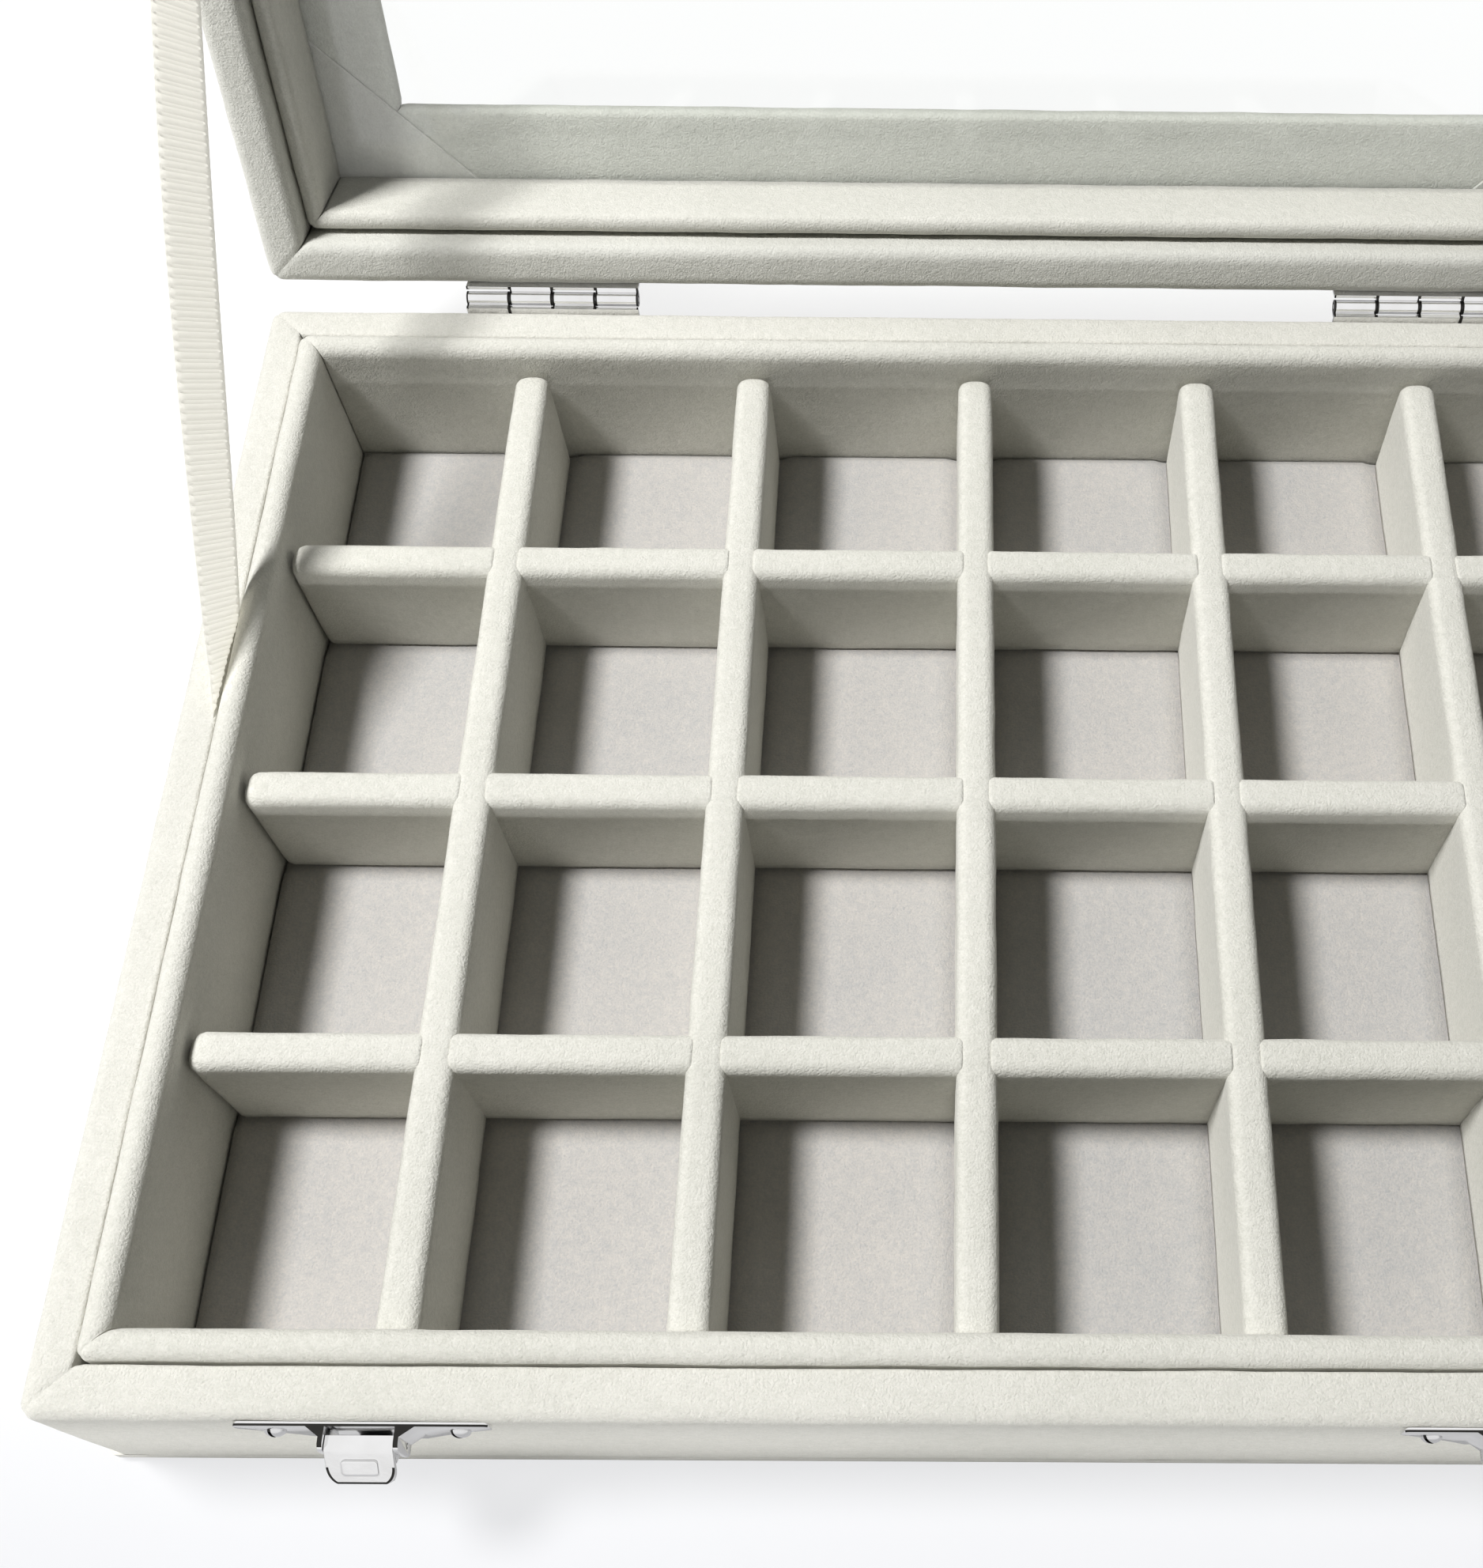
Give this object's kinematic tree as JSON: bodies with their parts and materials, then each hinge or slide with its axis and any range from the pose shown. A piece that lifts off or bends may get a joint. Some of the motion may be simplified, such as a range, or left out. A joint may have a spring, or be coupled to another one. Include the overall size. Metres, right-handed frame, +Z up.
{
  "type": "jewelry organizer box",
  "caption": "Velvet-covered jewelry tray with a grid of ring cells, a hinged glass-windowed lid held open by a ribbon, and press latches.",
  "frame": {"origin": "middle of the underside of the base, on the table", "axes": "+X to the right along the hinges, +Y from the latches to the hinges, +Z up"},
  "size_m": [0.35, 0.3832, 0.3084],
  "materials": {
    "velvet_case": "short-pile cream velvet over board",
    "velvet_liner": "short-pile cream velvet over padded board",
    "velvet_floor": "short-pile cream velvet over a padded board",
    "base_paper": "flocked paper over board",
    "window_glass": "clear float glass",
    "ribbon": "cream grosgrain ribbon",
    "nickel": "bright nickel-plated sheet steel",
    "spring_steel": "spring steel",
    "screw_steel": "bright nickel-plated screws and nails"
  },
  "bodies": {
    "base": {"base_wall_front": "velvet_case", "base_wall_back": "velvet_case", "base_wall_left": "velvet_case", "base_wall_right": "velvet_case", "base_liner_front": "velvet_liner", "base_liner_back": "velvet_liner", "base_liner_left": "velvet_liner", "base_liner_right": "velvet_liner", "long_divider_1": "velvet_liner", "long_divider_2": "velvet_liner", "long_divider_3": "velvet_liner", "long_divider_4": "velvet_liner", "long_divider_5": "velvet_liner", "cross_divider_1": "velvet_liner", "cross_divider_2": "velvet_liner", "cross_divider_3": "velvet_liner", "floor_pad": "velvet_floor", "base_bottom": "base_paper", "ribbon_stay": "ribbon", "hinge_left_base_leaf": "nickel", "hinge_left_pin": "nickel", "hinge_right_base_leaf": "nickel", "hinge_right_pin": "nickel", "latch_left_plate": "nickel", "latch_left_pin": "nickel", "latch_left_spring": "spring_steel", "latch_right_plate": "nickel", "latch_right_pin": "nickel", "latch_right_spring": "spring_steel", "hinge_nails_base": "screw_steel", "latch_screws_base": "screw_steel"},
    "lid": {"lid_rail_front": "velvet_case", "lid_rail_back": "velvet_case", "lid_rail_left": "velvet_case", "lid_rail_right": "velvet_case", "lid_liner_front": "velvet_liner", "lid_liner_back": "velvet_liner", "lid_liner_left": "velvet_liner", "lid_liner_right": "velvet_liner", "lid_corner_front_left": "velvet_case", "lid_corner_front_right": "velvet_case", "lid_corner_back_left": "velvet_case", "lid_corner_back_right": "velvet_case", "glass_pane": "window_glass", "hinge_left_lid_leaf": "nickel", "hinge_right_lid_leaf": "nickel", "hinge_nails_lid": "screw_steel", "latch_screws_lid": "screw_steel", "latch_left_keeper": "nickel", "latch_right_keeper": "nickel"},
    "latch_lever_left": {"latch_left_lever": "nickel"},
    "latch_lever_right": {"latch_right_lever": "nickel"}
  },
  "joints": [
    {"name": "lid_hinge", "type": "hinge", "parent": "base", "child": "lid", "pos_m": [0, 0.1345, 0.0494], "axis": [1, 0, 0], "range_deg": [0, 107], "deforming": ["ribbon_stay"]},
    {"name": "latch_left_press", "type": "hinge", "parent": "base", "child": "latch_lever_left", "pos_m": [-0.1121, -0.1347, 0.04], "axis": [1, 0, 0], "range_deg": [0, 15], "stiffness_Nm_per_rad": 0.03, "springref_deg": -17.19, "deforming": ["latch_left_spring"]},
    {"name": "latch_right_press", "type": "hinge", "parent": "base", "child": "latch_lever_right", "pos_m": [0.1009, -0.1347, 0.04], "axis": [1, 0, 0], "range_deg": [0, 15], "stiffness_Nm_per_rad": 0.03, "springref_deg": -17.19, "deforming": ["latch_right_spring"]}
  ]
}
